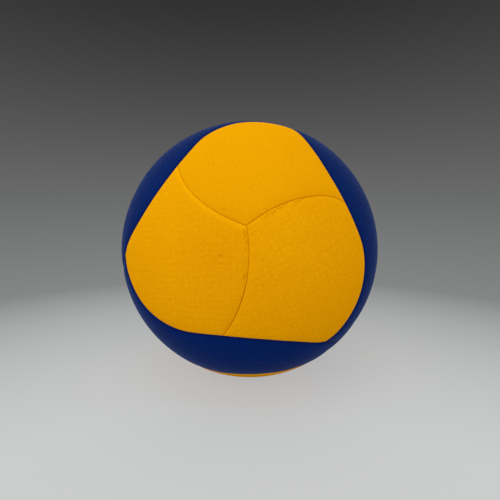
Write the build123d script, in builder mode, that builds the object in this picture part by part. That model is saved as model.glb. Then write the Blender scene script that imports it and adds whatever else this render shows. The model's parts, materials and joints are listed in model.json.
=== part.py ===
"""Volleyball: eighteen cushioned covers over a carcass, a thread winding and an air bladder with its valve.

Every seam is an arc of a small circle on the ball. Four hubs, each with three yellow covers, lie on
the corners of a tetrahedron. A blue band crosses the ball between each two hubs, so all the covers
are turned copies of one yellow and one blue one.
"""

import os
from math import acos, cos, degrees, pi, radians, sin, sqrt
from typing import NamedTuple

from build123d import *

os.makedirs("parts", exist_ok=True)

# The ball and its layers, from the outside in
ball_diameter = 210.0
cover_thickness = 1.2
foam_thickness = 2.5
carcass_thickness = 0.4
winding_thickness = 0.3
bladder_thickness = 0.5

# Seams: the gap between neighbours, and the roll of a cover's edge into it
cover_seam_gap = 0.3
foam_seam_gap = 1.0
seam_roll_radius = 0.8
seam_roll_limit_share = 0.8

# Valve: a rubber housing bonded in the bladder, a patch round its stem, and a plug for the needle
stem_diameter = 7.0
stem_recess = 0.4
stem_clearance = 0.2
patch_diameter = 24.0
flange_diameter = 28.0
flange_thickness = 1.2
barrel_diameter = 9.0
barrel_length = 11.0
core_diameter = 4.0
core_head_diameter = 5.4
core_head_thickness = 0.8
core_foot_diameter = 6.0
core_foot_thickness = 1.6
needle_bore_diameter = 2.1
needle_bore_depth = 13.0
cut_overrun = 2.0

# How the ball lies: the front hub's rise above level, and the turn of the band below it, in degrees
front_hub_rise = 17.3
front_band_turn = 251.9

# Seam circles in degrees: the centre's angle from the hub and its turn from the band beside the hub
long_edge_polar = 85.0
long_edge_turn = 13.7
round_edge_polar = 23.1
round_edge_turn = 51.9
hub_seam_radius = 40.4
hub_seam_leave = 28.7

# The tetrahedron: a band's middle and a blue corner, in degrees from the hub, and the turns about it
band_polar = degrees(acos(1 / sqrt(3)))
blue_corner_polar = degrees(acos(1 / 3))
third_turn = degrees(2 * pi / 3)
half_turn = degrees(pi)
blue_corner_turn = third_turn / 2
blades = range(3)

# Radii of the layers
ball_radius = ball_diameter / 2
foam_radius = ball_radius - cover_thickness
carcass_radius = foam_radius - foam_thickness
winding_radius = carcass_radius - carcass_thickness
bladder_radius = winding_radius - winding_thickness
air_radius = bladder_radius - bladder_thickness

# The ball's own frame: the front hub is its Z axis, and the band below it lies on its X axis
centre = Vector(0, 0, 0)
front_hub = Vector(0, -cos(radians(front_hub_rise)), sin(radians(front_hub_rise)))
hub_axis = Axis(centre, front_hub)
ball_plane = Plane(centre, x_dir=Vector(1, 0, 0).rotate(hub_axis, front_band_turn), z_dir=front_hub)


class SeamCircle(NamedTuple):
    """A small circle on the ball: the direction of its centre, and its radius in degrees."""

    middle: Vector
    radius: float


def direction(polar, turn):
    """The unit vector at an angle from the front hub, turned from the band below it."""
    level = sin(radians(polar))
    local = Vector(level * cos(radians(turn)), level * sin(radians(turn)), cos(radians(polar)))
    return ball_plane.from_local_coords(local)


def offset_circle(circle, angle):
    """The same circle with its radius changed by an angle."""
    return SeamCircle(circle.middle, circle.radius + angle)


def turned_circle(circle, axis, angle):
    """The same circle carried round an axis."""
    return SeamCircle(circle.middle.rotate(axis, angle), circle.radius)


def crossing(first, second, near):
    """The point where two circles cross, on the unit ball, on the side of a given direction."""
    across = first.middle.dot(second.middle)
    height_one = cos(radians(first.radius))
    height_two = cos(radians(second.radius))
    spread = 1 - across**2
    share_one = (height_one - height_two * across) / spread
    share_two = (height_two - height_one * across) / spread
    foot = first.middle * share_one + second.middle * share_two
    normal = first.middle.cross(second.middle)
    reach = sqrt(1 - foot.dot(foot)) / normal.length
    return min((foot + normal * reach, foot - normal * reach), key=near.get_angle)


def point_towards(circle, target):
    """The point of a circle that lies nearest a direction, on the unit ball."""
    sideways = (target - circle.middle * circle.middle.dot(target)).normalized()
    return circle.middle * cos(radians(circle.radius)) + sideways * sin(radians(circle.radius))


# The named directions and the three kinds of seam circle round the front hub
bands = [direction(band_polar, third_turn * blade) for blade in blades]
blue_corner = direction(blue_corner_polar, blue_corner_turn)
far_blue_corner = direction(blue_corner_polar, -blue_corner_turn)
long_edge_middle = direction(long_edge_polar, long_edge_turn)
long_edge = SeamCircle(long_edge_middle, long_edge_middle.get_angle(blue_corner))
next_long_edge = turned_circle(long_edge, hub_axis, third_turn)
round_edge_middle = direction(round_edge_polar, round_edge_turn)
round_edge_radius = round_edge_middle.get_angle(next_long_edge.middle) - long_edge.radius
round_edge = SeamCircle(round_edge_middle, round_edge_radius)
hub_seam = SeamCircle(direction(hub_seam_radius, hub_seam_leave - half_turn / 2), hub_seam_radius)
next_hub_seam = turned_circle(hub_seam, hub_axis, third_turn)

# The valve's axis, out through the middle of the band behind
valve_plane = Plane(centre, x_dir=Vector(1, 0, 0), z_dir=-bands[0])


def yellow_outline(setback):
    """The sides of a yellow cover and the corner where each starts, set back by an angle."""
    leading = offset_circle(hub_seam, setback)
    straight = offset_circle(long_edge, setback)
    rounded = offset_circle(round_edge, -setback)
    closing = offset_circle(next_long_edge, setback)
    trailing = offset_circle(next_hub_seam, -setback)
    corners = [
        crossing(leading, trailing, front_hub),
        crossing(leading, straight, front_hub),
        crossing(straight, rounded, blue_corner),
        point_towards(rounded, closing.middle),
        crossing(closing, trailing, front_hub),
    ]
    return [leading, straight, rounded, closing, trailing], corners


def blue_outline(setback):
    """The sides of a blue cover and the corner where each starts, set back by an angle."""
    middle = Axis(centre, bands[0])
    seam = offset_circle(turned_circle(long_edge, hub_axis, -third_turn), setback)
    rounded = offset_circle(turned_circle(round_edge, hub_axis, -third_turn), setback)
    straight = offset_circle(long_edge, -setback)
    near_side = [seam, rounded, straight]
    far_side = [turned_circle(circle, middle, half_turn) for circle in near_side]
    near_corners = [
        crossing(far_side[-1], seam, far_blue_corner),
        crossing(seam, rounded, far_blue_corner),
        point_towards(rounded, straight.middle),
    ]
    far_corners = [corner.rotate(middle, half_turn) for corner in near_corners]
    return near_side + far_side, near_corners + far_corners


def panel(outline, outer_radius, thickness, seam_gap):
    """A curved panel: its outline is drawn on the sphere, trims it, and is thickened inwards."""
    sides, corners = outline(degrees(seam_gap / 2 / outer_radius))
    facing = sum(corners, Vector(0, 0, 0)).normalized()
    behind = Plane(centre, x_dir=-facing, z_dir=facing.cross(corners[0]))
    sphere = behind.location * Sphere(outer_radius, mode=Mode.PRIVATE)
    with BuildPart() as curved_panel:
        with BuildLine() as rim:
            for side, start, end in zip(sides, corners, corners[1:] + corners[:1]):
                halfway = point_towards(side, start + end)
                ThreePointArc(start * outer_radius, halfway * outer_radius, end * outer_radius)
        thicken(sphere.face().split_by_perimeter(rim.wire()), amount=-thickness)
    return curved_panel.part


def rolled_cover(outline):
    """A cover whose outer edge rolls over into the seam."""
    with BuildPart() as cover:
        add(panel(outline, ball_radius, cover_thickness, cover_seam_gap))
        outer_face = cover.faces().filter_by(GeomType.SPHERE).sort_by(SortBy.AREA)[-1]
        fillet(outer_face.edges(), min(seam_roll_radius, cover_thickness * seam_roll_limit_share))
    return cover.part


def valve_rod(diameter):
    """A round rod along the valve's axis, from the ball's middle to past its surface."""
    with BuildPart() as rod:
        with BuildSketch(valve_plane):
            Circle(diameter / 2)
        extrude(amount=ball_radius + cut_overrun)
    return rod.part


def hollow_layer(outer_radius, thickness, hole_diameter):
    """A closed round layer of the ball with the hole that the valve passes through."""
    with BuildPart() as layer:
        Sphere(outer_radius)
        Sphere(outer_radius - thickness, mode=Mode.SUBTRACT)
        add(valve_rod(hole_diameter), mode=Mode.SUBTRACT)
    return layer.part


# Places of the hubs and bands, as turns of the front ones
hub_turns = {"front": None, "lower": bands[0], "right": bands[1], "left": bands[2]}
front_band_names = ["front_low", "front_right", "front_high"]
rear_band_names = ["rear_high", "rear_left", "rear_low"]
valve_band_name = "rear_high"
valve_hole_diameter = stem_diameter + 2 * stem_clearance


def at_hub(shape, blade, turn_axis):
    """A yellow piece turned about the front hub, then carried to another hub by a half turn."""
    shape = shape.rotate(hub_axis, third_turn * blade)
    return shape.rotate(Axis(centre, turn_axis), half_turn) if turn_axis else shape


def at_rear_band(shape, blade):
    """A blue piece carried to the opposite side of the ball by a half turn about the next band."""
    turn_axis = bands[(blade + 1) % len(bands)]
    return shape.rotate(hub_axis, third_turn * blade).rotate(Axis(centre, turn_axis), half_turn)


# One cover and one foam backing of each colour
yellow_cover = rolled_cover(yellow_outline)
blue_cover = rolled_cover(blue_outline)
yellow_foam = panel(yellow_outline, foam_radius, foam_thickness, foam_seam_gap)
blue_foam = panel(blue_outline, foam_radius, foam_thickness, foam_seam_gap)

# Twelve yellow covers, three round each hub, and their foam
for kind, pattern in (("yellow_cover", yellow_cover), ("yellow_foam", yellow_foam)):
    for hub_name, hub_turn in hub_turns.items():
        for blade in blades:
            with BuildPart() as yellow_piece:
                add(at_hub(pattern, blade, hub_turn))
            yellow_piece.part.label = f"{kind}_{hub_name}_{blade + 1}"
            export_step(yellow_piece.part, f"parts/{yellow_piece.part.label}.step")

# Six blue covers, one on each band, and their foam, with the valve's hole in the one that has it
for kind, pattern in (("blue_cover", blue_cover), ("blue_foam", blue_foam)):
    for blade in blades:
        with BuildPart() as front_piece:
            add(pattern.rotate(hub_axis, third_turn * blade))
        front_piece.part.label = f"{kind}_{front_band_names[blade]}"
        export_step(front_piece.part, f"parts/{front_piece.part.label}.step")
        with BuildPart() as rear_piece:
            add(at_rear_band(pattern, blade))
            if rear_band_names[blade] == valve_band_name:
                add(valve_rod(valve_hole_diameter), mode=Mode.SUBTRACT)
        rear_piece.part.label = f"{kind}_{rear_band_names[blade]}"
        export_step(rear_piece.part, f"parts/{rear_piece.part.label}.step")

# Carcass: a thin rubber skin under the foam
with BuildPart() as carcass:
    add(hollow_layer(carcass_radius, carcass_thickness, stem_diameter))
carcass.part.label = "carcass"
export_step(carcass.part, "parts/carcass.step")

# Thread winding: a closed wrap that stops short of the valve, where the patch lies
with BuildPart() as thread_winding:
    add(hollow_layer(winding_radius, winding_thickness, patch_diameter))
thread_winding.part.label = "thread_winding"
export_step(thread_winding.part, "parts/thread_winding.step")

# Bladder: the airtight rubber sphere
with BuildPart() as bladder:
    add(hollow_layer(bladder_radius, bladder_thickness, stem_diameter))
bladder.part.label = "bladder"
export_step(bladder.part, "parts/bladder.step")

# Valve patch: a rubber ring round the stem that fills the opening in the winding
with BuildPart() as valve_patch:
    add(valve_rod(patch_diameter))
    Sphere(winding_radius, mode=Mode.INTERSECT)
    Sphere(winding_radius - winding_thickness, mode=Mode.SUBTRACT)
    add(valve_rod(stem_diameter), mode=Mode.SUBTRACT)
valve_patch.part.label = "valve_patch"
export_step(valve_patch.part, "parts/valve_patch.step")

# Heights along the valve's axis, from the ball's middle
stem_top = ball_radius - stem_recess
barrel_bottom = air_radius - flange_thickness - barrel_length
core_head_seat = stem_top - core_head_thickness
core_foot_bottom = barrel_bottom - core_foot_thickness
needle_bore_bottom = stem_top - needle_bore_depth

# Valve housing: a flange that follows the bladder's inside, a stem outwards and a barrel inwards
with BuildPart() as valve_housing:
    add(valve_rod(flange_diameter))
    Sphere(air_radius, mode=Mode.INTERSECT)
    Sphere(air_radius - flange_thickness, mode=Mode.SUBTRACT)
    with BuildSketch(valve_plane.offset(barrel_bottom)):
        Circle(barrel_diameter / 2)
    extrude(amount=barrel_length + flange_thickness / 2)
    with BuildSketch(valve_plane.offset(barrel_bottom)):
        Circle(stem_diameter / 2)
    extrude(amount=stem_top - barrel_bottom)
    with BuildSketch(valve_plane.offset(barrel_bottom)):
        Circle(core_diameter / 2)
    extrude(amount=stem_top - barrel_bottom, mode=Mode.SUBTRACT)
    with BuildSketch(valve_plane.offset(core_head_seat)):
        Circle(core_head_diameter / 2)
    extrude(amount=core_head_thickness, mode=Mode.SUBTRACT)
valve_housing.part.label = "valve_housing"
export_step(valve_housing.part, "parts/valve_housing.step")

# Valve core: a plug with a head in the stem, a foot under the barrel and the needle's blind passage
with BuildPart() as valve_core:
    with BuildSketch(valve_plane.offset(core_foot_bottom)):
        Circle(core_foot_diameter / 2)
    extrude(amount=core_foot_thickness)
    with BuildSketch(valve_plane.offset(barrel_bottom)):
        Circle(core_diameter / 2)
    extrude(amount=core_head_seat - barrel_bottom)
    with BuildSketch(valve_plane.offset(core_head_seat)):
        Circle(core_head_diameter / 2)
    extrude(amount=core_head_thickness)
    with BuildSketch(valve_plane.offset(needle_bore_bottom)):
        Circle(needle_bore_diameter / 2)
    extrude(amount=needle_bore_depth, mode=Mode.SUBTRACT)
valve_core.part.label = "valve_core"
export_step(valve_core.part, "parts/valve_core.step")
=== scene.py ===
"""Volleyball: its dimpled covers, foam backing, inner layers and valve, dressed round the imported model.

Every seam is an arc of a small circle on the ball. Four hubs, each with three yellow covers, lie on the
corners of a tetrahedron, and a blue band crosses the ball between each two hubs. A cover is a grid stretched
between the seams round it, so all covers are turned copies of one yellow and one blue grid.
"""

import json
from math import acos, atan2, ceil, cos, pi, radians, sin, sqrt
from typing import NamedTuple

import bmesh
import bpy
import numpy as np
from bpy.props import FloatProperty, FloatVectorProperty, IntProperty, PointerProperty
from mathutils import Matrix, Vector


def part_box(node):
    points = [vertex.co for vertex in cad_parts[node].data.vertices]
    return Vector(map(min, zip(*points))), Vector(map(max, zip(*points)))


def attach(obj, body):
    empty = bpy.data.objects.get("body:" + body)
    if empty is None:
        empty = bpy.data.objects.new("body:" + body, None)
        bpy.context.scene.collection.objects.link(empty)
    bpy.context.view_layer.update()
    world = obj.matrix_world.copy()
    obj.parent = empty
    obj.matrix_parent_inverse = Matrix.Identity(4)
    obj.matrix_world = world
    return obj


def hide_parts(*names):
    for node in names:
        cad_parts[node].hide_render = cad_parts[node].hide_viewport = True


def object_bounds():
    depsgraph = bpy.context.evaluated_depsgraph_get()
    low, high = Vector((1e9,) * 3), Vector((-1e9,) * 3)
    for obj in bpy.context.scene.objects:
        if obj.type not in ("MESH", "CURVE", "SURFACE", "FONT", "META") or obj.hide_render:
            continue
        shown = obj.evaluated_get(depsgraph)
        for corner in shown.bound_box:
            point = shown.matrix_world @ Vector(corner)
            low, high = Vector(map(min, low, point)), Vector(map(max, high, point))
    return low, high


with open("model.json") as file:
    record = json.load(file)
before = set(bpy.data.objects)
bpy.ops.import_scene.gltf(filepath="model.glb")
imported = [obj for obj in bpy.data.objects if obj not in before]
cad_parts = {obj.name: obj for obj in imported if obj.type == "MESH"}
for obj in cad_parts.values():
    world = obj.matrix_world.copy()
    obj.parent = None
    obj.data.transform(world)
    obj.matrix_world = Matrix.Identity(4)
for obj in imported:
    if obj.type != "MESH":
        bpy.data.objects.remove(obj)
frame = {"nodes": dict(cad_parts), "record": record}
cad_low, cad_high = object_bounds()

bl_info = {
    "name": "Volleyball",
    "version": (1, 0, 0),
    "blender": (4, 5, 0),
    "location": "View3D > Sidebar > Volleyball",
    "description": "Dimpled covers, foam backing, inner layers and valve of a volleyball",
    "category": "Add Mesh",
}

MM = 0.001
BODY = "root"
THIRD_TURN = 2 * pi / 3
BAND_POLAR = acos(1 / sqrt(3))
BLUE_CORNER_POLAR = acos(1 / 3)
BLADES = range(3)
HUBS = ("front", "lower", "right", "left")
FRONT_BANDS = ("front_low", "front_right", "front_high")
REAR_BANDS = ("rear_high", "rear_left", "rear_low")
VALVE_BAND = "rear_high"
SLOT_COLOURS = {entry["slot"]: entry["base_color"] for entry in frame["record"]["materials"]}


def length(name, description, default):
    """A length in metres."""
    return FloatProperty(name=name, description=description, default=default, unit="LENGTH", precision=5)


def angle(name, description, default):
    """An angle, given in degrees and kept in radians."""
    return FloatProperty(name=name, description=description, default=radians(default), subtype="ANGLE")


def share(name, description, default):
    """A plain number between nothing and all."""
    return FloatProperty(name=name, description=description, default=default, min=0, max=1, subtype="FACTOR")


def colour(name, description, default):
    """A colour in linear light."""
    limits = {"min": 0, "max": 1}
    return FloatVectorProperty(name=name, description=description, default=default, subtype="COLOR", **limits)


def number(name, description, default):
    """A plain number."""
    return FloatProperty(name=name, description=description, default=default)


def count(name, description, default):
    """A whole number."""
    return IntProperty(name=name, description=description, default=default)


class SeamLayout(bpy.types.PropertyGroup):
    """How the ball lies and where its seam circles are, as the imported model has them."""

    hub_rise: angle("Hub rise", "The front hub's rise above level", 17.3)
    band_turn: angle("Band turn", "The turn of the band below the front hub, about that hub", 251.9)
    long_edge_polar: angle("Long edge polar", "The long edge's centre, from the hub", 85.0)
    long_edge_turn: angle("Long edge turn", "The long edge's centre, turned from the band", 13.7)
    round_edge_polar: angle("Round edge polar", "The round edge's centre, from the hub", 23.1)
    round_edge_turn: angle("Round edge turn", "The round edge's centre, turned from the band", 51.9)
    hub_seam_polar: angle("Hub seam polar", "The hub seam's centre, from the hub that it starts in", 40.4)
    hub_seam_leave: angle("Hub seam leave", "The turn at which the hub seam leaves the hub", 28.7)


class CoverShape(bpy.types.PropertyGroup):
    """Sizes of the covers and of the relief on them."""

    ball_radius: length("Ball radius", "From the middle to the covers", (cad_high.z - cad_low.z) / 2)
    thickness: length("Thickness", "Thickness of a cover", 1.2 * MM)
    seam_gap: length("Seam gap", "Space between two covers at the seam", 0.04 * MM)
    grid_step: length("Grid step", "Spacing of a cover's grid", 0.5 * MM)
    inner_stride: count("Inner stride", "Grid steps per step of the inner face", 4)
    rim_crowding: share("Rim crowding", "How much the grid tightens beside the seams", 0.72)
    rim_crowding_reach: share("Rim crowding reach", "Share of the grid in which it tightens", 0.012)
    crown_drop: length("Crown drop", "How far a cover sinks towards its seams", 0.84 * MM)
    crown_reach: length("Crown reach", "Distance from the seam in which most of that happens", 2.6 * MM)
    roll_drop: length("Roll drop", "How far the edge rolls down into the seam", 0.16 * MM)
    roll_reach: length("Roll reach", "Width of that roll", 0.26 * MM)
    dimple_pitch: length("Dimple pitch", "Spacing of the dimples' square lattice", 3.8 * MM)
    dimple_reach: length("Dimple reach", "Radius of a dimple", 0.75 * MM)
    dimple_depth: length("Dimple depth", "Depth of the deepest dimples", 0.24 * MM)
    dimple_jitter: length("Dimple jitter", "How far a dimple may lie off its lattice point", 0.4 * MM)
    dimple_wear: share("Dimple wear", "Share of its depth that the most worn dimple has lost", 0.85)
    dimple_margin: length("Dimple margin", "Distance from the seam at which dimples are whole", 2.0 * MM)
    yellow_dimple_turn: angle("Yellow dimple turn", "The lattice's turn from the band, on yellow", 49.1)
    blue_dimple_turn: angle("Blue dimple turn", "The lattice's turn from the band's length, on blue", 0.0)
    pucker_reach: length("Pucker reach", "Half the width of a pucker beside a seam", 0.28 * MM)
    pucker_sway: length("Pucker sway", "How far a pucker sways to and fro", 0.22 * MM)
    pucker_wave: length("Pucker wave", "Length of one sway", 6.0 * MM)
    pucker_fade: length("Pucker fade", "Length in which a pucker's ends fade out", 1.6 * MM)
    # Puckers and seams are painted darker as shade: a pucker by its depth, a seam within its reach
    pucker_shade: length("Pucker shade", "Depth at which a pucker is as dark as a seam", 0.14 * MM)
    seam_shade_reach: length("Crease reach", "Distance from a yellow seam in which it is darker", 0.24 * MM)
    blue_seam_shade_reach: length("Blue crease reach", "The same distance from a blue seam", 3.0 * MM)
    # Yellow beside blue and along a leading seam is painted paler, as a highlight, within these widths
    edge_reach: length("Edge reach", "Width of the paler edge of yellow beside blue", 0.9 * MM)
    lip_highlight_reach: length("Lip reach", "Width of the paler lip along a leading seam", 5.0 * MM)


class FoamShape(bpy.types.PropertyGroup):
    """Sizes of the foam pads under the covers."""

    thickness: length("Thickness", "Thickness of a pad", 2.5 * MM)
    seam_gap: length("Seam gap", "Space between two pads", 1.0 * MM)
    grid_step: length("Grid step", "Spacing of a pad's grid", 2.2 * MM)
    edge_drop: length("Edge drop", "How far the pad's outer edge is rounded down", 0.5 * MM)
    edge_reach: length("Edge reach", "Width of that rounding", 0.9 * MM)


class ValveShape(bpy.types.PropertyGroup):
    """Sizes of the valve, which the needle enters from behind."""

    stem_diameter: length("Stem diameter", "Diameter of the rubber stem", 7.0 * MM)
    stem_recess: length("Stem recess", "Depth of the stem's end below the covers", 0.4 * MM)
    stem_clearance: length("Stem clearance", "Space round the stem in the cover's hole", 0.2 * MM)
    flange_diameter: length("Flange diameter", "Diameter of the flange inside the bladder", 28.0 * MM)
    flange_thickness: length("Flange thickness", "Thickness of that flange", 1.2 * MM)
    bladder_wall: length("Bladder wall", "Thickness of the bladder that the flange lies in", 0.5 * MM)
    barrel_diameter: length("Barrel diameter", "Diameter of the barrel inside the flange", 9.0 * MM)
    barrel_length: length("Barrel length", "Length of the barrel", 11.0 * MM)
    core_diameter: length("Core diameter", "Diameter of the plug", 4.0 * MM)
    head_diameter: length("Head diameter", "Diameter of the plug's head", 5.4 * MM)
    head_thickness: length("Head thickness", "Thickness of the plug's head", 0.8 * MM)
    foot_diameter: length("Foot diameter", "Diameter of the plug's foot", 6.0 * MM)
    foot_thickness: length("Foot thickness", "Thickness of the plug's foot", 1.6 * MM)
    bore_diameter: length("Bore diameter", "Diameter of the needle's passage", 2.1 * MM)
    bore_depth: length("Bore depth", "Depth of the needle's passage", 13.0 * MM)
    lip_round: length("Lip round", "Rounding of the rubber's edges", 0.3 * MM)
    round_steps: count("Round steps", "Steps of each rounded edge", 5)
    segments: count("Segments", "Steps round the valve", 96)


class BallFinish(bpy.types.PropertyGroup):
    """Colours of the ball's materials."""

    yellow: colour("Yellow", "Yellow microfibre", (0.828, 0.338, 0.001))
    # Painted shade in yellow seams and folds, and also the colour of the front covers' specks of dirt
    yellow_shade_and_specks: colour("Yellow crease", "Yellow in the depth of a seam", (0.56, 0.13, 0.0))
    blue: colour("Blue", "Blue microfibre", (0.0004, 0.0135, 0.106))
    # Painted shade beside blue seams and round the valve's hole
    blue_seam_shade: colour("Blue crease", "Blue in the depth of a seam", (0.001, 0.008, 0.075))
    nap: colour("Nap", "The nap that shows where blue turns away", (0.4, 0.55, 1.0))
    speck: colour("Speck", "Specks of dirt", (0.30, 0.15, 0.02))
    foam: colour("Foam", "Foam backing", SLOT_COLOURS["foam_backing"])
    carcass: colour("Carcass", "Carcass rubber", SLOT_COLOURS["carcass_rubber"])
    thread: colour("Thread", "Wound thread", SLOT_COLOURS["winding_thread"])
    bladder: colour("Bladder", "Bladder rubber", SLOT_COLOURS["bladder_rubber"])
    valve: colour("Valve", "Valve rubber", SLOT_COLOURS["valve_rubber"])


class BallStage(bpy.types.PropertyGroup):
    """The camera, the lamps and the floor."""

    camera_distance: length("Camera distance", "From the camera to the ball's middle", 294.0 * MM)
    camera_rise: angle("Camera rise", "The camera's rise above level", 10.0)
    camera_turn: angle("Camera turn", "The camera's turn to the right", 1.04)
    lens: number("Lens", "Focal length in millimetres", 24.13)
    shift_right: number("Shift right", "Camera shift, in image widths", 0.0006)
    shift_up: number("Shift up", "Camera shift, in image widths", -0.0019)
    floor_radius: length("Floor radius", "Radius of the round floor", 40.0)
    # The pale pool is a painted pool of light: the floor's colour is paler near the ball and falls away
    floor_near: colour("Floor near", "The floor in its pale pool", (0.64, 0.64, 0.64))
    floor_far: colour("Floor far", "The floor far off", (0.143, 0.143, 0.143))
    floor_fade: length("Floor fade", "Distance at which the floor is twice as pale as far off", 0.425)
    pool_radius: length("Pool radius", "Radius at which the pale pool ends", 0.585)
    pool_heart: length("Pool heart", "Radius within which the pool is palest", 0.22)
    floor_glow: share("Floor glow", "Share of the floor's seen tone that the ball doesn't shade", 0.7)
    floor_bounce: share("Floor bounce", "Share of its tone that the floor reflects", 0.8)
    pool_front: length("Pool front", "Distance of the pool's middle in front of the ball's", 0.29)
    sky_low: colour("Sky low", "The background at the horizon", (0.141, 0.141, 0.141))
    sky_height: share("Sky height", "The sine of the rise at which the background is black", 0.83)
    ambient: number("Ambient", "Strength of the even light all round", 0.985)
    lamp_spread: angle("Lamp spread", "The angle that a lamp covers, seen from the ball", 30.0)
    side_light: number("Side light", "Watts per square metre from the left", 0.53)
    front_light: number("Front light", "Watts per square metre from the front", 0.24)
    top_light: number("Top light", "Watts per square metre from above", 0.31)
    top_tint: colour("Top tint", "Colour of the cool light from above", (0.1, 1.0, 1.0))


# What sewing, wear and handling have done to the covers, painted light and shade, values of the finishes and
# the stage


class Pucker(NamedTuple):
    """A fold beside a hub seam: its run along the seam, its distance from it at both ends, and its depth."""

    run_start: float
    run_end: float
    offset_start: float
    offset_end: float
    depth: float


# How far a cover's sewn sides lie outside the even layout, in millimetres, at even steps from each side's
# start. A stray reaches over a share of one step
SIDES = ("leading", "straight", "rounded", "trailing")
SEAM_STRAYS = {
    "front_1": {"trailing": [0, 0.5, 2], "straight": [1.5, 1.5, 1.5], "rounded": [1.5, 2, 2.5, 2.5]},
    "front_2": {"trailing": [0, 0, -0.5], "straight": [0.5, 0.5, 0.5], "rounded": [-1, 1, 5, 5]},
    "front_3": {"straight": [-1, -0.5, 1.5], "rounded": [1.5, 1, 1.5, 1]},
    "lower_1": {"straight": [-3, 0, 0]},
    "lower_3": {"rounded": [-4, -4, -6, -4]},
    "right_1": {"rounded": [0, -4, 0, 0]},
}
STRAY_REACH_SHARE = 0.67

# The front covers' tips are blunter than the layout's, by so many millimetres within such a reach
TIP_BLUNTING = 1.5
TIP_REACH = 6

# Folds that show beside the front hub's seams, in millimetres, on the cover that each seam ends
FRONT_PUCKERS = {
    "front_1": [
        Pucker(10.0, 29.0, 2.3, 0.9, 0.1),
        Pucker(31.0, 40.0, 1.4, 1.0, 0.1),
        Pucker(30.0, 37.0, 3.2, 2.4, 0.07),
        Pucker(14.0, 20.0, 3.4, 2.8, 0.06),
    ],
    "front_2": [
        Pucker(5.0, 9.5, 1.0, 1.3, 0.07),
        Pucker(14.0, 19.0, 3.6, 3.0, 0.05),
    ],
    "front_3": [
        Pucker(1.5, 7.5, 1.7, 1.4, 0.1),
        Pucker(7.0, 12.0, 0.2, 1.7, 0.1),
        Pucker(11.5, 15.5, 1.7, 1.3, 0.1),
        Pucker(27.0, 32.0, 0.1, 3.2, 0.13),
    ],
}

# Folds of the other covers are drawn between these ends, in millimetres
PUCKER_SEED = 18
PUCKER_COUNT = 4
PUCKER_STARTS = (3, 50)
PUCKER_RUNS = (4, 16)
PUCKER_OFFSETS = (0.8, 2.8)
PUCKER_DEPTHS = (0.05, 0.12)

# Share of its depth that each front cover's dimples have kept; the others' is drawn between two ends
FRONT_WEAR = {"front_1": 1.0, "front_2": 0.62, "front_3": 0.95}
DRAWN_WEAR = (0.6, 1)
DIMPLE_SEED = 5
DIMPLE_ROWS = 61

# How much paler a front cover is painted along its leading seam: a painted highlight where it stands a little
# proud
FRONT_LIP_HIGHLIGHTS = {"front_3": 1.1}

# How dark the painted shade along each front cover's trailing seam is at distances from the hub in
# millimetres; the others fade evenly
SEAM_STOPS = [6, 18, 30, 42, 54]
SEAM_SHADE_TONES = {
    "front_1": [0.8, 1.1, 1.4, 1.4, 1.0],
    "front_2": [1.0, 0.5, 0.4, 0.3, 0.3],
    "front_3": [0.4, 0.5, 0.6, 1.9, 1.4],
}
EVEN_SHADE_TONES = [1.0, 0.9, 0.8, 0.6, 0.5]

# Three specks of dirt and a broad faint darkening beside the hub, on the front covers: degrees from the hub,
# degrees round it from the band below, reach in millimetres, and strength
SPECKS_AND_DARKENING = [
    (12.3, -22.8, 0.5, 0.9),
    (26.1, -134.8, 0.5, 0.9),
    (38.2, -38.4, 0.4, 0.9),
    (11.5, -33.0, 17.0, 0.12),
]

# How strongly the fibres show on blue covers, and on the lower one in front, which is smoother
BLUE_GRAIN = 1.8
FRONT_GRAIN = {"front_low": 1.3}

# What sunk and raised fibres make of a colour's channels: red changes least
SUNK_FIBRES = (0.89, 0.77, 0.77)
RAISED_FIBRES = (1.1, 1.21, 1.21)

# Leather: the middle of a cloud of fibres, the fibres' share in the mottling, their contrast, how much paler
# the edges are painted as a highlight, and how the painted shade along the seams swings in a cloud
CLOUD_MIDDLE = 0.5
FIBRE_SHARE = 0.75
FIBRE_CONTRAST = 1.8
EDGE_HIGHLIGHT = 0.1
SEAM_SHADE_SCALE = 300.0
SEAM_SHADE_SWING = 1.4
SEAM_SHADE_LEAST = 0.3
LEATHER_RELIEF = 0.05 * MM

# Pebbled grain: the pebbles' share in its height, and how much finer the fibres between them are
PEBBLE_SHARE = 0.7
PEBBLE_FIBRES = 2.6

# Foam, rubber and thread: factors on their colours in darker and paler places, and their textures' scale,
# slant and relief
FOAM_TONES = (0.88, 1.05)
FOAM_PIT_TONE = 0.7
FOAM_CELLS = 1400.0
FOAM_RELIEF = 0.25 * MM
RUBBER_TONES = (0.75, 1.2)
RUBBER_ROUGHNESS_SWING = 0.08
DUST = (0.3, 0.29, 0.27)
DUST_SHARE = 0.4
THREAD_SHADE = 0.45
THREAD_SLANTS = ((0.0, 0.0, 0.0), (1.1, 0.4, 0.0), (0.5, 1.2, 0.7))
THREAD_RELIEF = 0.2 * MM

# Meshes: the most of an edge that a rounding takes, how close vertices are merged, and how far past the
# piece's radius the rod reaches that cuts the valve's hole
ROUNDING_SHARE = 0.4
MERGE_DISTANCE = 1e-3 * MM
ROD_OVERRUN = 1.1

# Stage: the floor's mesh, the strength of its glow, the power by which the background fades, and where each
# lamp stands from the ball's middle, in metres
BLACK = (0, 0, 0)
WHITE = (1, 1, 1)
FLOOR_SPOKES = 128
FLOOR_RINGS = 24
FLOOR_INNER_RING = 0.1
FLOOR_STRENGTH = 0.995
SKY_POWER = 2.0
LAMP_PLACES = {"side_lamp": (-2.0, -1.4, 0.9), "front_lamp": (0.9, -2.3, 0.8), "top_lamp": (-0.4, -0.5, 2.4)}


# Points and arcs on the unit ball


class SeamCircle(NamedTuple):
    """A small circle on the ball: the direction of its centre, and its radius as an angle."""

    middle: np.ndarray
    radius: float


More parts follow.
